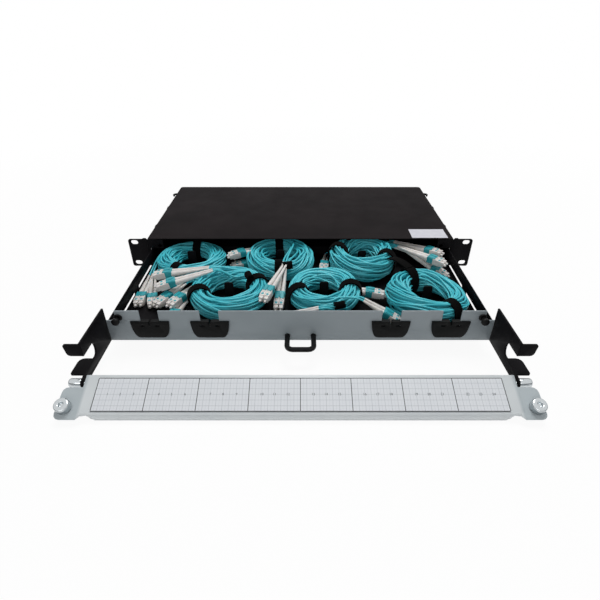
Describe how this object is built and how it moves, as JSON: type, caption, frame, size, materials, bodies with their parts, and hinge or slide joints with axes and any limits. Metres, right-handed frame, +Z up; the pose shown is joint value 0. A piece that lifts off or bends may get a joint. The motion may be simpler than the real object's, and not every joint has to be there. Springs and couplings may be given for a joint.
{
  "type": "fibre patch panel",
  "caption": "Rack-mount fibre panel: a low steel enclosure with a pull-out tray of coiled duplex leads, edge grommets, push latches and a flip-down label door.",
  "frame": {"origin": "middle of the rack plane, which is the rear face of the two rack ears", "axes": "+X to the right seen from the front, +Y into the rack, +Z up; the tray is pulled out towards -Y and the door is open"},
  "size_m": [0.4826, 0.4954, 0.0573],
  "materials": {
    "black_steel": "fine-textured black powder coat",
    "black_screw": "black oxide, satin",
    "black_nylon": "moulded, satin",
    "black_rubber": "moulded, matt",
    "zinc_steel": "zinc plated",
    "grey_paint": "satin blue-grey enamel",
    "satin_aluminium": "satin anodised",
    "chrome": "polished plating",
    "label_card": "printed card behind a clear film",
    "fibre_jacket": "extruded jacket, satin",
    "hook_and_loop": "woven, napped",
    "plug_plastic": "moulded, light gloss"
  },
  "bodies": {
    "enclosure": {"base_chassis": "black_steel", "top_cover": "black_steel", "rack_ear_left": "black_steel", "rack_ear_right": "black_steel", "ear_screw_left_front": "black_screw", "ear_screw_left_rear": "black_screw", "ear_screw_right_front": "black_screw", "ear_screw_right_rear": "black_screw", "cable_ring_left": "black_nylon", "cable_ring_right": "black_nylon", "cable_bushing_left": "black_rubber", "cable_bushing_right": "black_rubber", "slide_channel_left": "zinc_steel", "slide_channel_right": "zinc_steel"},
    "tray": {"tray_pan": "black_steel", "front_panel": "grey_paint", "edge_grommet_1": "black_rubber", "edge_grommet_2": "black_rubber", "edge_grommet_3": "black_rubber", "edge_grommet_4": "black_rubber", "pull_handle": "black_nylon", "latch_socket_left": "black_nylon", "latch_socket_right": "black_nylon", "side_bracket_left": "black_steel", "side_bracket_right": "black_steel", "hinge_pin_left": "chrome", "hinge_pin_right": "chrome", "lead_coil_rear_left": "fibre_jacket", "lead_coil_rear_centre": "fibre_jacket", "lead_coil_rear_right": "fibre_jacket", "lead_coil_front_left": "fibre_jacket", "lead_coil_front_centre": "fibre_jacket", "lead_coil_front_right": "fibre_jacket", "tie_post_rear_left": "black_steel", "tie_post_rear_centre": "black_steel", "tie_post_rear_right": "black_steel", "tie_post_front_left": "black_steel", "tie_post_front_centre": "black_steel", "tie_post_front_right": "black_steel", "coil_strap_rear_left": "hook_and_loop", "coil_strap_rear_centre": "hook_and_loop", "coil_strap_rear_right": "hook_and_loop", "coil_strap_front_left": "hook_and_loop", "coil_strap_front_centre": "hook_and_loop", "coil_strap_front_right": "hook_and_loop", "lead_plug_1": "plug_plastic", "lead_plug_2": "plug_plastic", "lead_plug_3": "plug_plastic", "lead_plug_4": "plug_plastic", "lead_plug_5": "plug_plastic", "lead_plug_6": "plug_plastic", "lead_plug_7": "plug_plastic", "lead_plug_8": "plug_plastic", "lead_plug_9": "plug_plastic"},
    "latch_left": {"latch_plunger_left": "black_nylon"},
    "latch_right": {"latch_plunger_right": "black_nylon"},
    "door": {"door_plate": "satin_aluminium", "label_card": "label_card", "door_magnet_left": "chrome", "door_magnet_right": "chrome"}
  },
  "joints": [
    {"name": "tray_slide", "type": "slide", "parent": "enclosure", "child": "tray", "axis": [0, -1, 0], "range_m": [-0.17, 0]},
    {"name": "door_hinge", "type": "hinge", "parent": "tray", "child": "door", "pos_m": [0, -0.2457, -0.0175], "axis": [-1, 0, 0], "range_deg": [0, 110.4]},
    {"name": "latch_left_push", "type": "slide", "parent": "tray", "child": "latch_left", "axis": [0, -1, 0], "range_m": [-0.005, 0]},
    {"name": "latch_right_push", "type": "slide", "parent": "tray", "child": "latch_right", "axis": [0, -1, 0], "range_m": [-0.005, 0]}
  ]
}
